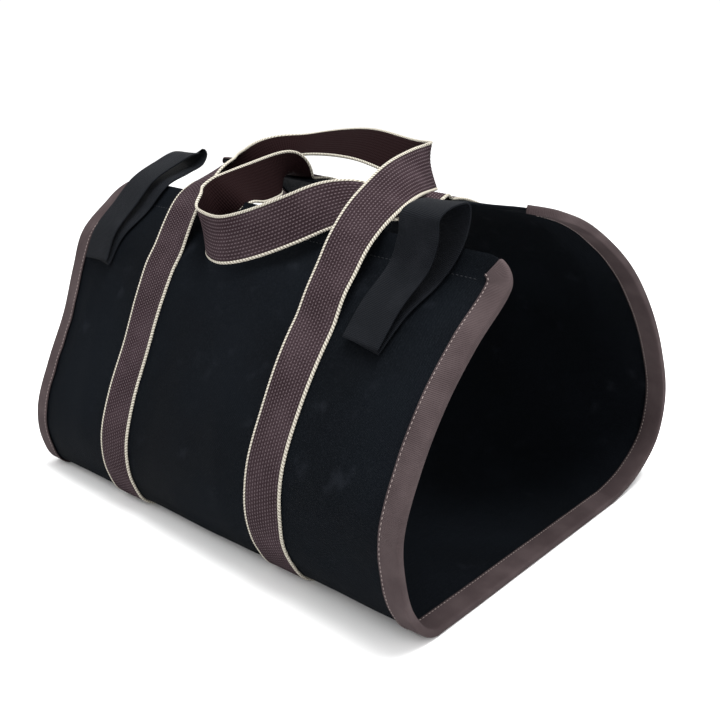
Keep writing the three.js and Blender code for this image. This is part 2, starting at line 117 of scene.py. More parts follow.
# %% [markdown]
# A stretched sheet still shows soft folds: it dips beside each strap, puckers along the sewn tape
# and ripples where it is pulled tight. Each fold here is a long low ridge with its own middle,
# length, width and lean, so that the folds can be moved one at a time.

# %% Folds
BACK_SHIFT = 37.0         # the back folds mirror the front ones, moved by this much
PUCKER_PLACE, PUCKER_REACH, PUCKER_HEIGHT = 20.0, 6.0, 0.28   # from the edge, spread, height
RIPPLE_HEIGHT = 0.45
CALM_AT_HEM = 60.0        # folds fade over this distance from a hem
# rows: x mm, distance from the front hem mm, half length, half width, lean degrees, height mm
FOLDS = np.array([
    [25.0, 70.0, 60.0, 14.0, 62.0, 1.6],
    [-20.0, 120.0, 80.0, 18.0, 70.0, -1.4],
    [40.0, 215.0, 75.0, 13.0, 80.0, 1.3],
    [-52.0, 190.0, 70.0, 12.0, 96.0, -1.2],
    [150.0, 120.0, 55.0, 12.0, 115.0, 1.5],
    [178.0, 190.0, 70.0, 14.0, 100.0, -1.5],
    [196.0, 110.0, 60.0, 9.0, 96.0, 1.2],
    [140.0, 265.0, 60.0, 14.0, 20.0, 1.2],
    [-160.0, 210.0, 60.0, 14.0, 80.0, 1.4],
    [-150.0, 110.0, 45.0, 13.0, 100.0, -1.2],
    [-196.0, 150.0, 70.0, 10.0, 92.0, 1.3],
    [0.0, 300.0, 90.0, 10.0, 2.0, 1.1],
    [-10.0, 26.0, 60.0, 9.0, 4.0, -0.9],
])


def folds(x, s):
    """Sum of ridges h exp(-(p/length)^2 - (q/width)^2), with p along and q across each ridge,
    plus puckers along the two bound edges and one slow ripple over the whole sheet. All of it
    fades towards the hems and on the base, which stands flat."""
    height = np.zeros(np.broadcast(x, s).shape)
    mirrored = np.minimum(s, CLOTH_LENGTH - s)
    for fx, fs, length, width, lean, rise in FOLDS:
        cos, sin = math.cos(math.radians(lean)), math.sin(math.radians(lean))
        for flip in (s, CLOTH_LENGTH - s + BACK_SHIFT):
            p = (x - fx) * cos + (flip - fs) * sin
            q = -(x - fx) * sin + (flip - fs) * cos
            height += rise * np.exp(-(p / length) ** 2 - (q / width) ** 2)
    to_edge = HALF_WIDTH - np.abs(x)
    pucker = (np.sin(s / 5.1 + 1.7 * np.sin(s / 31.0))
              * np.exp(-((to_edge - PUCKER_PLACE) / PUCKER_REACH) ** 2))
    ripple = np.sin(x / 23.0 + 1.3 * np.sin(s / 47.0)) * np.sin(s / 34.0 + 0.8 * np.sin(x / 51.0))
    near_hem = np.clip(mirrored / CALM_AT_HEM, 0.15, 1.0)
    on_base = 1 - 0.9 * np.exp(-((s / CLOTH_LENGTH - 0.5) / 0.13) ** 4)
    return (height + PUCKER_HEIGHT * pucker + RIPPLE_HEIGHT * ripple) * near_hem * on_base


# %% [markdown]
# The curve through the section points is the centripetal Catmull-Rom kind. It passes through every
# point without loops, so what the table says is what the cloth does. All of it works on whole
# arrays: x and s can be grids, and the answer is a grid of points.

# %% Cloth surface
def cubic(a, b, c, d, w):
    """Point at w from b to c of the Catmull-Rom cubic through a, b, c, d. The slopes at b and c are
    differences of the neighbours over the square roots of the gaps between them."""
    gap = [np.maximum(np.linalg.norm(q - p, axis=-1, keepdims=True) ** 0.5, 1e-4)
           for p, q in ((a, b), (b, c), (c, d))]
    start = ((b - a) / gap[0] - (c - a) / (gap[0] + gap[1]) + (c - b) / gap[1]) * gap[1]
    end = ((c - b) / gap[1] - (d - b) / (gap[1] + gap[2]) + (d - c) / gap[2]) * gap[1]
    w = w[..., None]
    return (b + start * w + (3 * (c - b) - 2 * start - end) * w ** 2
            + (2 * (b - c) + start + end) * w ** 3)


def control(x, k):
    """Section point k at x: a blend of its left and right place, less a sag of 4 t (1 - t)."""
    row = SECTIONS[np.clip(k, 0, LAST)]
    right_y, right_z, left_y, left_z, bend, sag = np.moveaxis(row, -1, 0)
    share = x / WIDTH + 0.5
    mix = np.maximum(share, 0) ** bend
    y = left_y + (right_y - left_y) * mix
    z = left_z + (right_z - left_z) * mix - sag * 4 * share * (1 - share)
    return np.stack([x, y * DEPTH, z * HEIGHT], axis=-1)


def section_point(x, t):
    """Point at t, from 0 at the front hem to 1 at the back hem, of the section at x."""
    x, t = np.broadcast_arrays(np.asarray(x, float), np.asarray(t, float))
    place = np.clip(t, 0, 1) * LAST
    k = np.minimum(place.astype(int), LAST - 1)
    a, b, c, d = (control(x, k + i) for i in (-1, 0, 1, 2))
    a = np.where((k == 0)[..., None], 2 * b - c, a)
    d = np.where((k == LAST - 1)[..., None], 2 * c - b, d)
    point = cubic(a, b, c, d, place - k)
    point[..., 2] = np.maximum(point[..., 2], 0)
    return point


SAMPLES = np.linspace(0, 1, 401)
steps = section_point(np.zeros_like(SAMPLES), SAMPLES)
lengths = np.concatenate([[0], np.cumsum(np.linalg.norm(np.diff(steps, axis=0), axis=1))])
CLOTH_LENGTH = float(lengths[-1])
print("cloth length from hem to hem, mm:", round(CLOTH_LENGTH))


def plain(x, s):
    """Section point at the distance s from the front hem, measured along the middle section."""
    return section_point(x, np.interp(s, lengths, SAMPLES))


def outward(surface, x, s, reach=2.0):
    """Unit normal: the cross product of the differences along s and along x."""
    along = surface(x, np.minimum(s + reach, CLOTH_LENGTH)) - surface(x, np.maximum(s - reach, 0))
    across = surface(x + reach, s) - surface(x - reach, s)
    normal = np.cross(along, across)
    return normal / np.linalg.norm(normal, axis=-1, keepdims=True)


def cloth(x, s):
    """Plain surface, moved outward by the dents, which are Gaussian bumps, and by the folds."""
    x, s = np.broadcast_arrays(np.asarray(x, float), np.asarray(s, float))
    swell = folds(x, s)
    for dx, ds, wide, long, rise in DENTS:
        swell = swell + rise * HEIGHT * np.exp(
            -((x / WIDTH - dx) / wide) ** 2 - ((s / CLOTH_LENGTH - ds) / long) ** 2)
    return plain(x, s) + outward(plain, x, s) * swell[..., None]


def lifted(x, s, lift):
    """Cloth point moved outward by lift millimetres."""
    lift = np.asarray(lift, float)
    return cloth(x, s) + outward(cloth, x, s) * lift[..., None]


# %% [markdown]
# Every soft piece here is a skin between two matching grids, an outer and an inner one, closed by a
# strip round the rim. One helper makes them all, with a UV map in metres along and across the
# cloth, so that weave and stitching follow the surface. A float attribute marks the inner face.

# %% Mesh helper
def make_piece(name, vertices, faces, uv=None, inner=None):
    """Object from points in mm and quads. The quads are turned over if they enclose a negative
    volume, the sum of a . (b x c) + a . (c x d), so that every piece faces outward."""
    mesh = bpy.data.meshes.new(name)
    points = (np.asarray(vertices) + SHIFT) * MM
    faces = np.asarray(faces)
    a, b, c, d = (points[faces[:, i]] for i in range(4))
    if (a * (np.cross(b, c) + np.cross(c, d))).sum() < 0:
        faces = faces[:, ::-1]
    mesh.vertices.add(len(points))
    mesh.vertices.foreach_set("co", points.astype(np.float32).ravel())
    mesh.loops.add(faces.size)
    mesh.loops.foreach_set("vertex_index", faces.astype(np.int32).ravel())
    mesh.polygons.add(len(faces))
    mesh.polygons.foreach_set("loop_start", np.arange(0, faces.size, 4, dtype=np.int32))
    mesh.polygons.foreach_set("use_smooth", np.ones(len(faces), bool))
    if uv is not None:
        layer = mesh.uv_layers.new(name="cloth")
        layer.data.foreach_set("uv", np.asarray(uv, np.float32)[faces.ravel()].ravel())
    if inner is not None:
        mark = mesh.attributes.new("inner", "FLOAT", "POINT")
        mark.data.foreach_set("value", np.asarray(inner, np.float32))
    mesh.update()
    mesh.validate()
    piece = bpy.data.objects.new(name, mesh)
    bpy.context.scene.collection.objects.link(piece)
    print(name, len(points), "points", len(faces), "faces")
    return piece


def shell(name, outer, under, across, along):
    """Closed skin between two grids of rows x columns. across and along are the UVs in mm."""
    rows, columns = outer.shape[:2]
    grid = np.arange(rows * columns).reshape(rows, columns)
    low = grid + rows * columns
    quads = [np.stack([grid[:-1, :-1], grid[1:, :-1], grid[1:, 1:], grid[:-1, 1:]], -1),
             np.stack([low[:-1, :-1], low[:-1, 1:], low[1:, 1:], low[1:, :-1]], -1),
             np.stack([grid[1:, 0], grid[:-1, 0], low[:-1, 0], low[1:, 0]], -1),
             np.stack([grid[:-1, -1], grid[1:, -1], low[1:, -1], low[:-1, -1]], -1),
             np.stack([grid[0, :-1], grid[0, 1:], low[0, 1:], low[0, :-1]], -1),
             np.stack([grid[-1, 1:], grid[-1, :-1], low[-1, :-1], low[-1, 1:]], -1)]
    faces = np.concatenate([q.reshape(-1, 4) for q in quads])
    uv = np.stack(np.broadcast_arrays(across, along), -1).reshape(-1, 2) * MM
    inner = np.repeat([0.0, 1.0], rows * columns)
    points = np.concatenate([outer.reshape(-1, 3), under.reshape(-1, 3)])
    return make_piece(name, points, faces, np.concatenate([uv, uv]), inner)


# %% [markdown]
# The canvas: stations run from hem to hem, close together in the rounded corners, where the sheet
# narrows along a quarter circle. The hems are turned in, so the inner face stands further in there,
# and the line where the hem is sewn pulls the cloth in a little.

# %% Canvas
ARC_STEPS = 14
MIDDLE_ROWS, COLUMNS = 260, 121
SEAM_DIP, HEM_SEAM = 0.35, HEM_WIDTH - 3   # the hem's row of stitches, from the hem
corner_turn = np.linspace(0, math.pi / 2, ARC_STEPS + 1)
corner_drop = CORNER * (1 - np.cos(corner_turn))
corner_inset = CORNER * (1 - np.sin(corner_turn))
middle = np.linspace(CORNER, CLOTH_LENGTH - CORNER, MIDDLE_ROWS + 2)[1:-1]
stations = np.concatenate([corner_drop, middle, CLOTH_LENGTH - corner_drop[::-1]])
insets = np.concatenate([corner_inset, np.zeros(len(middle)), corner_inset[::-1]])

spread = np.linspace(-1, 1, COLUMNS)
canvas_x = spread[None, :] * (HALF_WIDTH - insets)[:, None]
canvas_s = np.repeat(stations[:, None], len(spread), axis=1)
from_hem = np.minimum(canvas_s, CLOTH_LENGTH - canvas_s)
hem_seam = SEAM_DIP * np.exp(-((from_hem - HEM_SEAM) / 2.2) ** 2)
hem_step = HEM_FOLD / (1 + np.exp((from_hem - HEM_WIDTH) / 0.8))
inside_tape = np.clip((HALF_WIDTH - np.abs(canvas_x) - BINDING_WIDTH) / 8, 0, 1)
canvas = shell("canvas_sheet",
               lifted(canvas_x, canvas_s, CANVAS / 2 - hem_seam * inside_tape),
               lifted(canvas_x, canvas_s, -CANVAS / 2 - hem_step * inside_tape),
               canvas_x + HALF_WIDTH, canvas_s)

# %% [markdown]
# The binding is a tape folded round the raw edge. Its profile goes in from one side, round the
# edge in a half circle and back on the other face. At each hem it follows the corner's quarter
# circle, so "into the sheet" turns from sideways to downwards on the way.

# %% Bindings
TAPE_LIFT = CANVAS / 2 + HEM_FOLD + CLEARANCE
FIRST_TURN = math.pi / 6  # the tape starts a third of the way round the corner
STRAIGHT_STEPS, ROUND_STEPS = 6, 8
PROFILE_STEP = 2.2        # mm from point to point of the profile, for its UV
tape_turn = np.linspace(FIRST_TURN, math.pi / 2, 12)[:-1]
tape_angle = np.concatenate([tape_turn, np.full(len(middle) + 2, math.pi / 2), tape_turn[::-1]])
tape_s = np.concatenate([CORNER * (1 - np.cos(tape_turn)),
                         np.linspace(CORNER, CLOTH_LENGTH - CORNER, len(middle) + 2),
                         CLOTH_LENGTH - CORNER * (1 - np.cos(tape_turn[::-1]))])
tape_edge = HALF_WIDTH - CORNER * (1 - np.sin(tape_angle))
tape_down = np.cos(tape_angle) * np.where(tape_s < CLOTH_LENGTH / 2, 1, -1)


def tape_skin(side, depth, reach, lift):
    """Profile of one skin of the tape: straight in by depth on each face, and a half circle
    (-reach sin a, lift cos a) round the edge of the sheet."""
    straight = np.linspace(1, 0, STRAIGHT_STEPS + 1)[:-1]
    turn = np.linspace(0, math.pi, ROUND_STEPS + 1)
    into = np.concatenate([depth * straight, -reach * np.sin(turn), depth * straight[::-1]])
    flat = np.full(STRAIGHT_STEPS, lift)
    height = np.concatenate([flat, lift * np.cos(turn), -flat])
    x = side * (tape_edge[:, None] - np.maximum(into, 0) * np.sin(tape_angle)[:, None])
    s = tape_s[:, None] + np.maximum(into, 0) * tape_down[:, None]
    edge_x, edge_s = side * tape_edge, tape_s
    inside = (cloth(side * (tape_edge - np.sin(tape_angle)), tape_s + tape_down)
              - cloth(edge_x, edge_s))
    inside /= np.linalg.norm(inside, axis=-1, keepdims=True)
    points = lifted(x, s, np.broadcast_to(height, x.shape))
    return points + inside[:, None, :] * np.minimum(into, 0)[None, :, None], into


bindings = {}
for side, word in ((1, "right"), (-1, "left")):
    skin, into = tape_skin(side, BINDING_WIDTH, CLEARANCE + BINDING_THICKNESS,
                           TAPE_LIFT + BINDING_THICKNESS)
    lining, _ = tape_skin(side, BINDING_WIDTH, CLEARANCE, TAPE_LIFT)
    profile = PROFILE_STEP * np.arange(len(into))
    bindings[word] = shell(f"binding_tape_{word}", skin, lining,
                           profile[None, :], tape_s[:, None])

# %% [markdown]
# Sewing thread is what makes cloth edges read as sewn. A stitch is a small spindle that dips into
# the cloth at both ends. Each has few faces, because there are hundreds in a row.

# %% Stitches
RINGS, SIDES = 5, 6       # a stitch's rings of points, and the points in a ring
RING_PLACES = np.array([0.0, 0.2, 0.5, 0.8, 1.0])
RING_SIZES = np.array([0.25, 0.85, 1.0, 0.85, 0.25])
FLATNESS = 0.7            # a stitch is pressed flatter than it is wide


def stitch_rows(name, paths, pitch=3.6, share=0.62, thick=0.36):
    """Spindles along each path, one every pitch mm and share of it long. Each is an axis with
    rings round it, thick mm wide in the middle and a quarter of that at the ends."""
    vertices, faces, count = [], [], 0
    for path, up in paths:
        run = np.concatenate([[0], np.cumsum(np.linalg.norm(np.diff(path, axis=0), axis=1))])
        starts = np.arange(0, run[-1] - pitch, pitch)
        a = np.stack([np.interp(starts, run, path[:, i]) for i in range(3)], -1)
        b = np.stack([np.interp(starts + pitch * share, run, path[:, i]) for i in range(3)], -1)
        n = np.stack([np.interp(starts, run, up[:, i]) for i in range(3)], -1)
        side_way = np.cross(b - a, n)
        side_way /= np.linalg.norm(side_way, axis=1, keepdims=True)
        radius = thick * RING_SIZES[:, None]
        turn = np.arange(SIDES) * 2 * math.pi / SIDES
        ring = (a[:, None, None] + (b - a)[:, None, None] * RING_PLACES[None, :, None, None]
                + side_way[:, None, None] * (radius * np.cos(turn))[None, :, :, None]
                + n[:, None, None] * (radius * (FLATNESS * np.sin(turn)))[None, :, :, None])
        stitches = len(starts)
        index = np.arange(stitches * RINGS * SIDES).reshape(stitches, RINGS, SIDES) + count
        nxt = np.roll(index, -1, axis=2)
        sides = np.stack([index[:, :-1], nxt[:, :-1], nxt[:, 1:], index[:, 1:]], -1)
        ends = [index[:, 0][:, [0, 5, 4, 3]], index[:, 0][:, [0, 3, 2, 1]],
                index[:, 4][:, [0, 1, 2, 3]], index[:, 4][:, [0, 3, 4, 5]]]
        vertices.append(ring.reshape(-1, 3))
        faces += [sides.reshape(-1, 4)] + [e.reshape(-1, 4) for e in ends]
        count += stitches * RINGS * SIDES
    return make_piece(name, np.concatenate(vertices), np.concatenate(faces))


def cloth_path(x, s, lift):
    """A path over the cloth at a lift, with its normals, both turned over under the sheet."""
    up = outward(cloth, x, s)
    return cloth(x, s) + up * lift, up * np.sign(lift)


SEAM = 15.4               # from the edge of the sheet to the tape's row of stitches
PROUD = 0.1               # how far the middle of a stitch stands above the tape
tape_thread = {}
for side, word in ((1, "right"), (-1, "left")):
    seam_x = side * (tape_edge - SEAM * np.sin(tape_angle))
    seam_s = tape_s + SEAM * tape_down
    top = TAPE_LIFT + BINDING_THICKNESS + PROUD
    tape_thread[word] = stitch_rows(
        f"binding_thread_{word}",
        [cloth_path(seam_x, seam_s, top), cloth_path(seam_x, seam_s, -top)])

HEM_THREAD_END = HALF_WIDTH - 22   # the hem's stitches stop short of the tape
hem_x = np.linspace(-HEM_THREAD_END, HEM_THREAD_END, 240)
hem_paths = []
for s in (HEM_SEAM, CLOTH_LENGTH - HEM_SEAM):
    for lift in (CANVAS / 2 - 0.15, -CANVAS / 2 - HEM_FOLD):
        hem_paths.append(cloth_path(hem_x, np.full_like(hem_x, s), lift))
hem_thread = stitch_rows("hem_thread", hem_paths, pitch=3.8, thick=0.34)

# %% [markdown]
# Each strap is one length of webbing: up the panel, free as the handle, and down again. Low down
# it lies on the sheet. The back strap leaves it at the hem and the front strap a little below,
# where the handle lifts it. From there it follows its own route, given with the direction
# across the webbing at each point, so that it can twist and fold over as a limp handle does.

# %% Straps
# rows: x, y, z mm of the webbing's middle, then the direction across it, inner to outer edge
FRONT_HANDLE = np.array([
    [99.0, -131.0, 223.0, 1.00, 0.00, -0.03],
    [99.0, -118.5, 239.5, 1.00, 0.02, -0.08],
    [99.0, -105.5, 257.0, 0.98, 0.03, -0.17],
    [99.0, -85.5, 275.0, 0.94, 0.05, -0.33],
    [98.0, -63.0, 287.5, 0.90, 0.20, -0.38],
    [93.5, -34.0, 297.0, 0.76, 0.10, -0.64],
    [86.5, 0.0, 301.0, 0.53, 0.00, -0.85],
    [80.5, 17.0, 301.5, 0.38, -0.12, -0.92],
    [69.0, 25.0, 302.5, 0.22, -0.32, -0.92],
    [50.0, 26.0, 304.5, 0.08, -0.55, -0.83],
    [25.0, 30.0, 309.0, 0.00, -0.73, -0.69],
    [-12.0, 37.0, 313.5, 0.00, -0.76, -0.65],
    [-62.0, 49.0, 312.0, 0.00, -0.81, -0.58],
    [-104.0, 49.0, 307.0, 0.00, -0.85, -0.52],
    [-128.0, 34.0, 299.0, 0.25, -0.50, -0.82],
    [-136.0, 2.0, 286.0, 0.05, -0.10, -1.00],
    [-121.0, -38.0, 286.0, -0.55, 0.10, -0.82],
    [-104.0, -70.0, 290.0, -0.90, 0.00, -0.43],
    [-99.0, -90.0, 281.0, -0.97, 0.05, -0.20],
    [-99.0, -104.5, 267.0, -1.00, 0.02, -0.05],
    [-99.0, -117.5, 247.5, -1.00, 0.00, 0.00],
])
BACK_HANDLE = np.array([
    [99.0, -8.0, 285.0, 1.00, 0.00, -0.05],
    [100.0, -27.0, 281.0, 0.96, -0.10, -0.25],
    [91.0, -49.0, 278.0, 0.81, -0.30, -0.50],
    [74.0, -65.0, 283.0, 0.72, -0.30, -0.62],
    [56.0, -87.0, 278.0, 0.42, -0.17, -0.89],
    [36.0, -106.0, 267.0, 0.30, -0.15, -0.94],
    [9.0, -125.0, 254.5, 0.15, -0.15, -0.98],
    [-15.0, -134.0, 248.0, 0.05, -0.10, -1.00],
    [-37.0, -131.0, 248.0, 0.08, 0.00, -1.00],
    [-51.0, -125.0, 252.0, 0.12, 0.10, -0.98],
    [-60.0, -113.0, 260.0, 0.15, 0.12, -0.98],
    [-67.0, -99.0, 267.0, 0.25, 0.10, -0.96],
    [-62.0, -82.0, 279.0, 0.75, 0.38, -0.53],
    [-68.0, -50.0, 281.0, 0.50, 0.10, -0.86],
    [-78.0, -18.0, 284.0, 0.25, 0.10, -0.96],
    [-90.0, 12.0, 287.0, -0.50, 0.00, -0.86],
])
STRAP_LIFT = CANVAS / 2 + CLEARANCE + WEBBING / 2
CORD = 1.25               # radius of the light cord along each edge
CORD_DEPTH = 0.02         # least square of the cord's half thickness, at the very edge
RIBS, RIB_HEIGHT = 12, 0.16
MARGIN = 0.078            # share of the width at each edge that has no ribs
FIELD = 1 - 2 * MARGIN    # share of the width that has them
ACROSS = np.concatenate([np.linspace(0, MARGIN, 8), np.linspace(MARGIN, 1 - MARGIN, 50)[1:-1],
                         np.linspace(1 - MARGIN, 1, 8)])
SEWN_ROWS, FREE_STEPS = 190, 16   # rows on the cloth, and rows from point to point of a handle
JOIN_GAP = 0.3            # the two halves of a strap meet under the base this far from its middle
SMOOTHED, PASSES = 5, 14  # rows smoothed on the cloth's side of a hem, and how many times


def curve(points, t):
    """Catmull-Rom curve through a list of points, at t from 0 to 1."""
    last = len(points) - 1
    padded = np.concatenate([2 * points[:1] - points[1:2], points, 2 * points[-1:] - points[-2:-1]])
    place = t * last
    k = np.minimum(place.astype(int), last - 1)
    return cubic(padded[k], padded[k + 1], padded[k + 2], padded[k + 3], place - k)


def unit(v):
    """Vectors of length 1 in the directions of v."""
    return v / np.linalg.norm(v, axis=-1, keepdims=True)


def smooth_rows(grid, where, passes):
    """Moves the rows in where to the mean of their neighbours, a quarter at a time."""
    for _ in range(passes):
        mean = 0.25 * grid[:-2] + 0.5 * grid[1:-1] + 0.25 * grid[2:]
        grid[1:-1] = np.where(where[1:-1, None, None], mean, grid[1:-1])
    return grid


def strap(name, table, from_back, sewn_from):
    """Grid of the strap's middle: rows along it and columns across. On the cloth a row is the
    cloth's points at one distance; free rows are middle + across (q - 1/2) width. sewn_from is
    the distance from the hem at which the strap leaves the cloth, at the right and at the left."""
    grids, outs = [], []
    for side, first in zip((1, -1), sewn_from):
        on_cloth = np.linspace(first, CLOTH_LENGTH / 2 - JOIN_GAP, SEWN_ROWS)
        if from_back:
            on_cloth = CLOTH_LENGTH - on_cloth
        x = side * (STRAP_SPACING / 2 + (ACROSS - 0.5) * WEBBING_WIDTH)
        xx, ss = np.meshgrid(x, on_cloth)
        grids.append(lifted(xx, ss, np.full(xx.shape, STRAP_LIFT)))
        outs.append(outward(cloth, xx, ss))
    ends = [(0.5 * (g[0, 0] + g[0, -1]), unit(g[0, -1] - g[0, 0])) for g in grids]
    middles = np.concatenate([ends[0][0][None], table[:, :3] - SHIFT, ends[1][0][None]])
    acrosses = np.concatenate([ends[0][1][None], table[:, 3:], ends[1][1][None]])
    t = np.linspace(0, 1, FREE_STEPS * (len(middles) - 1) + 1)[1:-1]
    route = curve(middles, t)
    tangent = unit(np.gradient(route, axis=0))
    across = curve(acrosses, t)
    across = unit(across - tangent * np.sum(across * tangent, axis=1, keepdims=True))
    out = np.cross(across, tangent) * (-1 if from_back else 1)
    free = route[:, None] + across[:, None] * ((ACROSS - 0.5) * WEBBING_WIDTH)[None, :, None]
    grid = np.concatenate([grids[0][::-1], free, grids[1]])
    out = np.concatenate([outs[0][::-1], np.repeat(out[:, None], len(ACROSS), 1), outs[1]])
    where = np.zeros(len(grid), bool)
    where[SEWN_ROWS - SMOOTHED:SEWN_ROWS + len(free) + SMOOTHED + 1] = True
    grid = smooth_rows(grid, where, PASSES)
    out = unit(smooth_rows(out, where, PASSES))
    spine = grid[:, len(ACROSS) // 2]
    run = np.concatenate([[0], np.cumsum(np.linalg.norm(np.diff(spine, axis=0), axis=1))])
    from_edge = np.minimum(ACROSS, 1 - ACROSS) * WEBBING_WIDTH
    cord = np.sqrt(np.maximum(CORD ** 2 - (from_edge - CORD) ** 2, CORD_DEPTH))
    ribs = np.cos(2 * math.pi * RIBS * (ACROSS - MARGIN) / FIELD + math.pi)
    field = WEBBING / 2 - 0.12 + RIB_HEIGHT * ribs
    beside_cord = np.maximum(field, np.where(from_edge < 2 * CORD, cord, 0))
    half = np.where(from_edge < CORD, cord, beside_cord)
    return shell(name, grid + out * half[None, :, None], grid - out * half[None, :, None],
                 (ACROSS * WEBBING_WIDTH)[None, :], run[:, None])


front_strap = strap("front_strap", FRONT_HANDLE, False, (88.0, 66.0))
back_strap = strap("back_strap", BACK_HANDLE, True, (0.0, 0.0))

# %% [markdown]
# The side loops are short lengths of black webbing, folded over and sewn down with both ends
# together. The route climbs the panel, leans aside, turns over above the hem and comes back down
# on itself. Only the two ends touch the cloth.

# %% Side loops
# rows: rise (share of the drop, past 1 above the hem), lean and lift (shares of the loop's width)
RIGHT_LOOP = np.array([
    [0.00, 0.00, 0.05], [0.30, 0.15, 0.05], [0.65, 0.38, 0.05], [0.98, 0.58, 0.04],
    [1.20, 0.60, 0.06], [1.30, 0.60, 0.22], [1.24, 0.52, 0.58], [1.12, 0.45, 0.80],
    [0.95, 0.40, 0.62], [0.65, 0.24, 0.38], [0.30, 0.08, 0.22], [0.00, 0.00, 0.13]])
LEFT_LOOP = np.array([
    [0.00, 0.04, 0.02], [0.30, 0.16, 0.02], [0.65, 0.30, 0.03], [0.98, 0.36, 0.05],
    [1.25, 0.34, 0.06], [1.46, 0.30, 0.10], [1.54, 0.24, 0.25], [1.44, 0.16, 0.38],
    [1.20, 0.08, 0.32], [0.95, 0.02, 0.26], [0.65, -0.02, 0.22], [0.30, -0.02, 0.15],
    [0.00, 0.00, 0.10]])


def loop(name, base, fall, table):
    """Band through the table's points, level across along X. Below the hem a point is the lifted
    cloth; above it, it goes back and up at the angle fall from the level."""
    rise, lean, lift = table.T
    s = LOOP_DROP * (1 - rise)
    height = CANVAS / 2 + CLEARANCE + LOOP / 2 + lift * LOOP_WIDTH
    x = base + lean * LOOP_WIDTH
    fall = math.radians(fall)
    back = np.array([0, math.cos(fall), math.sin(fall)])
    up = np.array([0, -math.sin(fall), math.cos(fall)])
    below = lifted(x, np.maximum(s, 0), height)
    above = cloth(x, np.zeros_like(x)) - s[:, None] * back + height[:, None] * up
    points = np.where((s >= 0)[:, None], below, above)
    t = np.linspace(0, 1, 12 * (len(points) - 1) + 1)
    route = curve(points, t)
    tangent = unit(np.gradient(route, axis=0))
    across = np.array([1.0, 0, 0]) - tangent * tangent[:, :1]
    across = unit(across)
    out = np.cross(tangent, across)
    q = np.concatenate([np.linspace(0, 0.06, 5), np.linspace(0.06, 0.94, 24)[1:-1],
                        np.linspace(0.94, 1, 5)])
    from_edge = np.minimum(q, 1 - q) * LOOP_WIDTH
    half = LOOP / 2 * np.sqrt(np.clip(1 - (1 - np.minimum(from_edge / 1.4, 1)) ** 2, 0.03, 1))
    grid = route[:, None] + across[:, None] * ((q - 0.5) * LOOP_WIDTH)[None, :, None]
    run = np.concatenate([[0], np.cumsum(np.linalg.norm(np.diff(route, axis=0), axis=1))])
    offset = out[:, None] * half[None, :, None]
    return shell(name, grid + offset, grid - offset, (q * LOOP_WIDTH)[None, :], run[:, None])


RIGHT_BASE, LEFT_BASE = HALF_WIDTH - 82, -(HALF_WIDTH - 42)
loop_right = loop("loop_right", RIGHT_BASE, 66, RIGHT_LOOP)
loop_left = loop("loop_left", LEFT_BASE, 16, LEFT_LOOP)

# %% [markdown]
# Materials. Canvas, tape and webbing differ mostly in their weave, so each gets its own height
# pattern, worked out from the UV map in metres with plain maths nodes, and a colour that varies
# slowly as worn cloth does. The small helpers below keep each recipe to a few lines.

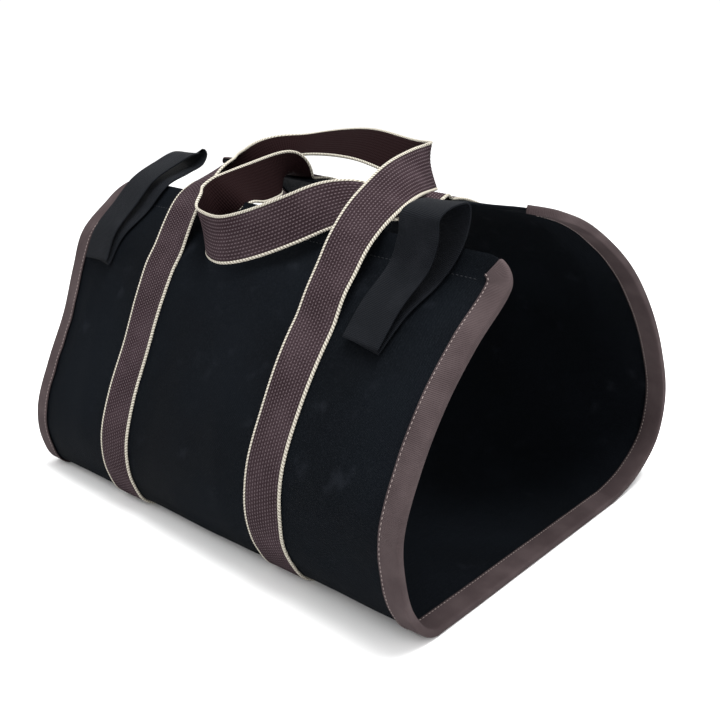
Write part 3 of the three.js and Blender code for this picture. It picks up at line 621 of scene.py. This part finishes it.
# %% Material helpers
class Recipe:
    """A material with one Principled shader and short calls for the nodes that feed it."""

    def __init__(self, name, roughness, specular=0.3, ior=1.5):
        self.material = bpy.data.materials.new(name)
        self.material.use_nodes = True
        self.tree = self.material.node_tree
        self.shader = self.tree.nodes["Principled BSDF"]
        self.shader.inputs["Roughness"].default_value = roughness
        self.shader.inputs["Specular IOR Level"].default_value = specular
        self.shader.inputs["IOR"].default_value = ior
        uv = self.tree.nodes.new("ShaderNodeUVMap")
        uv.uv_map = "cloth"
        self.uv = uv.outputs[0]
        split = self.tree.nodes.new("ShaderNodeSeparateXYZ")
        self.tree.links.new(self.uv, split.inputs[0])
        self.across, self.along = split.outputs[0], split.outputs[1]
        self.place = self.tree.nodes.new("ShaderNodeTexCoord").outputs["Object"]

    def put(self, socket, value):
        """Links a node's output to the socket, or sets a plain value on it."""
        if isinstance(value, bpy.types.NodeSocket):
            self.tree.links.new(value, socket)
        else:
            socket.default_value = value

    def calc(self, operation, *values):
        """One maths node."""
        node = self.tree.nodes.new("ShaderNodeMath")
        node.operation = operation
        for socket, value in zip(node.inputs, values):
            self.put(socket, value)
        return node.outputs[0]

    def wave(self, value, pitch, phase=0.0):
        """sin(2 pi value / pitch + phase), from -1 to 1."""
        return self.calc("SINE", self.calc("MULTIPLY_ADD", value, 2 * math.pi / pitch, phase))

    def from_middle(self, value, middle):
        """abs(value - middle)."""
        return self.calc("ABSOLUTE", self.calc("SUBTRACT", value, middle))

    def noise(self, scale, detail):
        """Noise from 0 to 1 in the object's own coordinates."""
        node = self.tree.nodes.new("ShaderNodeTexNoise")
        self.tree.links.new(self.place, node.inputs["Vector"])
        node.inputs["Scale"].default_value = scale
        node.inputs["Detail"].default_value = detail
        return node.outputs["Fac"]

    def span(self, value, low, high, to_low=0.0, to_high=1.0):
        """Smooth step from to_low at low to to_high at high."""
        node = self.tree.nodes.new("ShaderNodeMapRange")
        node.interpolation_type = "SMOOTHSTEP"
        for socket, v in zip(node.inputs, (value, low, high, to_low, to_high)):
            self.put(socket, v)
        return node.outputs[0]

    def mix(self, share, first, second):
        """Colour between first and second."""
        node = self.tree.nodes.new("ShaderNodeMix")
        node.data_type = "RGBA"
        self.put(node.inputs[0], share)
        self.put(node.inputs[6], first)
        self.put(node.inputs[7], second)
        return node.outputs[2]

    def colour(self, value):
        self.put(self.shader.inputs["Base Color"], value)

    def bump(self, height, distance, strength):
        """Relief from a height pattern; distance is in metres."""
        node = self.tree.nodes.new("ShaderNodeBump")
        node.inputs["Strength"].default_value = strength
        node.inputs["Distance"].default_value = distance
        self.tree.links.new(height, node.inputs["Height"])
        self.tree.links.new(node.outputs[0], self.shader.inputs["Normal"])

    def inner_face(self):
        """1 on the inner skin of a piece and 0 on the outer one."""
        node = self.tree.nodes.new("ShaderNodeAttribute")
        node.attribute_name = "inner"
        return node.outputs["Fac"]


# %% [markdown]
# Waxed canvas is a plain weave, near black with a little blue in it. The wax makes faint cloudy
# patches, and handling leaves paler scuffs on the ridges and short creases.

# %% Canvas finish
CANVAS_YARN = 0.0014      # metres from yarn to yarn
finish = Recipe("waxed_canvas", roughness=0.8, specular=0.02)
cloudy = finish.span(finish.noise(9.0, 5.0), 0.35, 0.7)
fleck = finish.span(finish.noise(900.0, 2.0), 0.4, 0.75)
base = finish.mix(cloudy, (0.0020, 0.0027, 0.0038, 1), (0.0036, 0.0048, 0.0066, 1))
scuff = finish.calc("MULTIPLY", finish.span(finish.noise(38.0, 6.0), 0.60, 0.78), 0.4)
base = finish.mix(scuff, base, (0.0150, 0.0170, 0.0220, 1))
finish.colour(finish.mix(finish.calc("MULTIPLY", fleck, 0.20), base, (0.0165, 0.0190, 0.0235, 1)))
plain_weave = finish.calc("MULTIPLY", finish.wave(finish.across, CANVAS_YARN),
                          finish.wave(finish.along, CANVAS_YARN))
weave = finish.calc("ADD", plain_weave, finish.calc("MULTIPLY", finish.noise(260.0, 4.0), 1.4))
crease = finish.calc("MULTIPLY", finish.noise(22.0, 8.0), 2.4)
finish.put(finish.shader.inputs["Roughness"], finish.span(cloudy, 0, 1, 0.70, 0.86))
finish.bump(finish.calc("ADD", weave, crease), 0.00035, 0.75)
canvas_finish = finish.material

# %% [markdown]
# The binding is a ribbed tape in a greyed mauve brown. Its ribs run across, so the light catches
# a fine row of lines along the edge, and dust makes it a shade paler here and there.

# %% Tape finish
TAPE_RIB = 0.0012         # metres from rib to rib
finish = Recipe("binding_tape", roughness=0.88, specular=0.08)
worn = finish.span(finish.noise(30.0, 5.0), 0.35, 0.72)
rib = finish.wave(finish.along, TAPE_RIB)
base = finish.mix(worn, (0.044, 0.032, 0.033, 1), (0.068, 0.051, 0.052, 1))
# Painted shade: the tape is painted darker in the grooves between its ribs.
finish.colour(finish.mix(finish.span(rib, -1, 0.2, 0.30, 0.0), base, (0.036, 0.025, 0.027, 1)))
fibres = finish.calc("MULTIPLY", finish.noise(300.0, 3.0), 1.2)
finish.bump(finish.calc("ADD", rib, fibres), 0.00025, 0.7)
tape_finish = finish.material

# %% [markdown]
# The webbing is dark brown with a dozen ribs along it. Pale threads show as short dashes, set
# half a step over from rib to rib, and a light twisted cord runs along each edge. The inner face
# has no dashes and is painted darker and redder: painted shade.

# %% Webbing finish
DASH = 0.0030             # metres from one pale dash to the next along a rib
PICK = 0.0021             # metres from one cross thread to the next
TWIST = 0.0026            # metres from one turn of the cord to the next
CORD_SLANT = 1700.0       # radians the cord's turns lean per metre across
half_width = WEBBING_WIDTH / 2 * MM
finish = Recipe("strap_webbing", roughness=0.8, specular=0.10, ior=1.2)
first, wide = MARGIN * WEBBING_WIDTH * MM, FIELD * WEBBING_WIDTH * MM / RIBS
place = finish.calc("DIVIDE", finish.calc("SUBTRACT", finish.across, first), wide)
number = finish.calc("FLOOR", place)
within = finish.calc("SUBTRACT", place, number)
from_rib = finish.from_middle(within, 0.5)
half_step = finish.calc("MULTIPLY", finish.calc("MODULO", number, 2.0), math.pi)
dash = finish.calc("MULTIPLY", finish.span(finish.wave(finish.along, DASH, half_step), -0.5, 0.3),
                   finish.span(from_rib, 0.26, 0.08))
outside = finish.calc("SUBTRACT", 1.0, finish.inner_face())
dash = finish.calc("MULTIPLY", dash, finish.calc("MULTIPLY", outside, 0.62))
worn = finish.span(finish.noise(40.0, 5.0), 0.3, 0.75)
base = finish.mix(worn, (0.022, 0.0135, 0.0160, 1), (0.037, 0.0245, 0.0285, 1))
# Painted shade: the inner face is painted darker and redder.
base = finish.mix(finish.inner_face(), base, (0.0080, 0.0034, 0.0036, 1))
# Painted shade: the grooves between the ribs are painted darker.
groove_shade = finish.calc("MULTIPLY", finish.span(from_rib, 0.36, 0.5), 0.55)
base = finish.mix(groove_shade, base, (0.009, 0.005, 0.006, 1))
base = finish.mix(dash, base, (0.125, 0.098, 0.106, 1))
centre = finish.from_middle(finish.across, half_width)
on_cord = finish.span(centre, half_width - 2.5 * MM, half_width - 2.2 * MM)
twist = finish.wave(finish.along, TWIST, finish.calc("MULTIPLY", centre, CORD_SLANT))
# Painted shade: the cream cord is painted darker in the hollows between its turns.
cord_colour_with_shade = finish.mix(finish.span(twist, -1.0, 0.0),
                         (0.23, 0.205, 0.165, 1), (0.50, 0.47, 0.40, 1))
finish.colour(finish.mix(on_cord, base, cord_colour_with_shade))
cross = finish.wave(finish.along, PICK)
field = finish.calc("ADD", finish.calc("MULTIPLY", cross, 0.6),
                    finish.calc("MULTIPLY", dash, 1.6))
height = finish.calc("ADD", finish.calc("MULTIPLY", field, finish.calc("SUBTRACT", 1.0, on_cord)),
                     finish.calc("MULTIPLY", twist, finish.calc("MULTIPLY", on_cord, 1.6)))
finish.bump(height, 0.00030, 0.9)
webbing_finish = finish.material

# %% [markdown]
# The loops are a finer black webbing with a diamond pattern, which is two slanted waves laid over
# each other. It is shinier than the canvas, so its upper faces catch the light.

# %% Loop finish
DIAMOND = 0.0024          # metres from diamond to diamond
finish = Recipe("loop_webbing", roughness=0.6, specular=0.10, ior=1.3)
one = finish.wave(finish.calc("ADD", finish.across, finish.along), DIAMOND)
other = finish.wave(finish.calc("SUBTRACT", finish.across, finish.along), DIAMOND)
diamond = finish.calc("MULTIPLY", one, other)
# Painted shade and light: the diamonds are painted darker in their hollows and paler on their raised
# points.
base = finish.mix(finish.span(diamond, -0.6, 0.7),
                  (0.0026, 0.0031, 0.0042, 1), (0.0075, 0.0088, 0.0115, 1))
# Painted light: paler patches, spread at random by noise, in the colour of the loops' lit upper
# faces.
painted_lit_patches = finish.span(finish.noise(50.0, 4.0), 0.45, 0.8, 0, 0.4)
finish.colour(finish.mix(painted_lit_patches, base, (0.0130, 0.0140, 0.0175, 1)))
finish.bump(diamond, 0.0003, 0.8)
loop_finish = finish.material

# %% [markdown]
# Thread gets a plain spun look: a tight twist as a bump, pale on the tape and black on the hem.

# %% Thread finishes
def thread_finish(name, dark, pale):
    """Thread with a tight twist, mottled from dark to pale."""
    made = Recipe(name, roughness=0.7)
    spun = made.noise(1500.0, 2.0)
    made.colour(made.mix(made.span(spun, 0.35, 0.65), dark, pale))
    made.bump(spun, 0.0002, 0.6)
    return made.material


pale_thread = thread_finish("tape_thread", (0.16, 0.125, 0.12, 1), (0.28, 0.235, 0.22, 1))
black_thread = thread_finish("hem_thread", (0.004, 0.005, 0.007, 1), (0.012, 0.014, 0.018, 1))

# %% Each piece gets its body and finish and hides its node; its slot is listed but not used
PIECES = [
    (canvas, ["canvas_panel"], "canvas", canvas_finish),
    (bindings["right"], ["binding_right"], "binding", tape_finish),
    (bindings["left"], ["binding_left"], "binding", tape_finish),
    (front_strap, ["front_webbing"], "webbing", webbing_finish),
    (back_strap, ["back_webbing"], "webbing", webbing_finish),
    (loop_right, ["side_loop_right"], "loop_webbing", loop_finish),
    (loop_left, ["side_loop_left"], "loop_webbing", loop_finish),
    (tape_thread["right"], [], "binding", pale_thread),
    (tape_thread["left"], [], "binding", pale_thread),
    (hem_thread, [], "canvas", black_thread),
]
for piece, nodes, slot, material in PIECES:
    piece.data.materials.append(material)
    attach(piece, "root")
    if nodes:
        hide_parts(*nodes)

# %% [markdown]
# The stage is a plain pale floor with soft light: a large lamp overhead, a weak one on each side,
# and a bright even sky. Faces that look up are then a shade lighter than those that look forward.

# %% Floor and light
floor_mesh = bpy.data.meshes.new("floor")
REACH = 6.0
corners = [(-REACH, -REACH, 0), (REACH, -REACH, 0), (REACH, REACH, 0), (-REACH, REACH, 0)]
floor_mesh.from_pydata(corners, [], [(0, 1, 2, 3)])
floor = bpy.data.objects.new("floor", floor_mesh)
bpy.context.scene.collection.objects.link(floor)
floor_finish = bpy.data.materials.new("floor")
floor_finish.use_nodes = True
floor_shader = floor_finish.node_tree.nodes["Principled BSDF"]
floor_shader.inputs["Base Color"].default_value = (0.96, 0.96, 0.96, 1)
floor_shader.inputs["Roughness"].default_value = 0.8
floor_mesh.materials.append(floor_finish)

world = bpy.data.worlds.new("sky")
world.use_nodes = True
world.node_tree.nodes["Background"].inputs["Color"].default_value = (1, 1, 1, 1)
world.node_tree.nodes["Background"].inputs["Strength"].default_value = 1.06
bpy.context.scene.world = world
bpy.context.scene.view_settings.view_transform = "Standard"


def lamp(name, place, size, watts):
    """Square lamp at a place in metres, turned to the middle of the carrier."""
    light = bpy.data.lights.new(name, "AREA")
    light.size, light.energy = size, watts
    holder = bpy.data.objects.new(name, light)
    holder.location = place
    aim = np.array(LOOK_AT) - np.array(place)
    across_way = math.atan2(aim[0], -aim[1])
    down_way = math.atan2(math.hypot(aim[0], aim[1]), -aim[2])
    holder.rotation_euler = (down_way, 0, across_way + math.pi)
    bpy.context.scene.collection.objects.link(holder)


LOOK_AT = (0, 0, 0.12)
lamp("key", (-0.9, -1.5, 2.1), 1.4, 9)
lamp("side", (1.9, -0.6, 1.3), 1.2, 9)
lamp("top", (0.3, 0.2, 2.2), 1.2, 78)
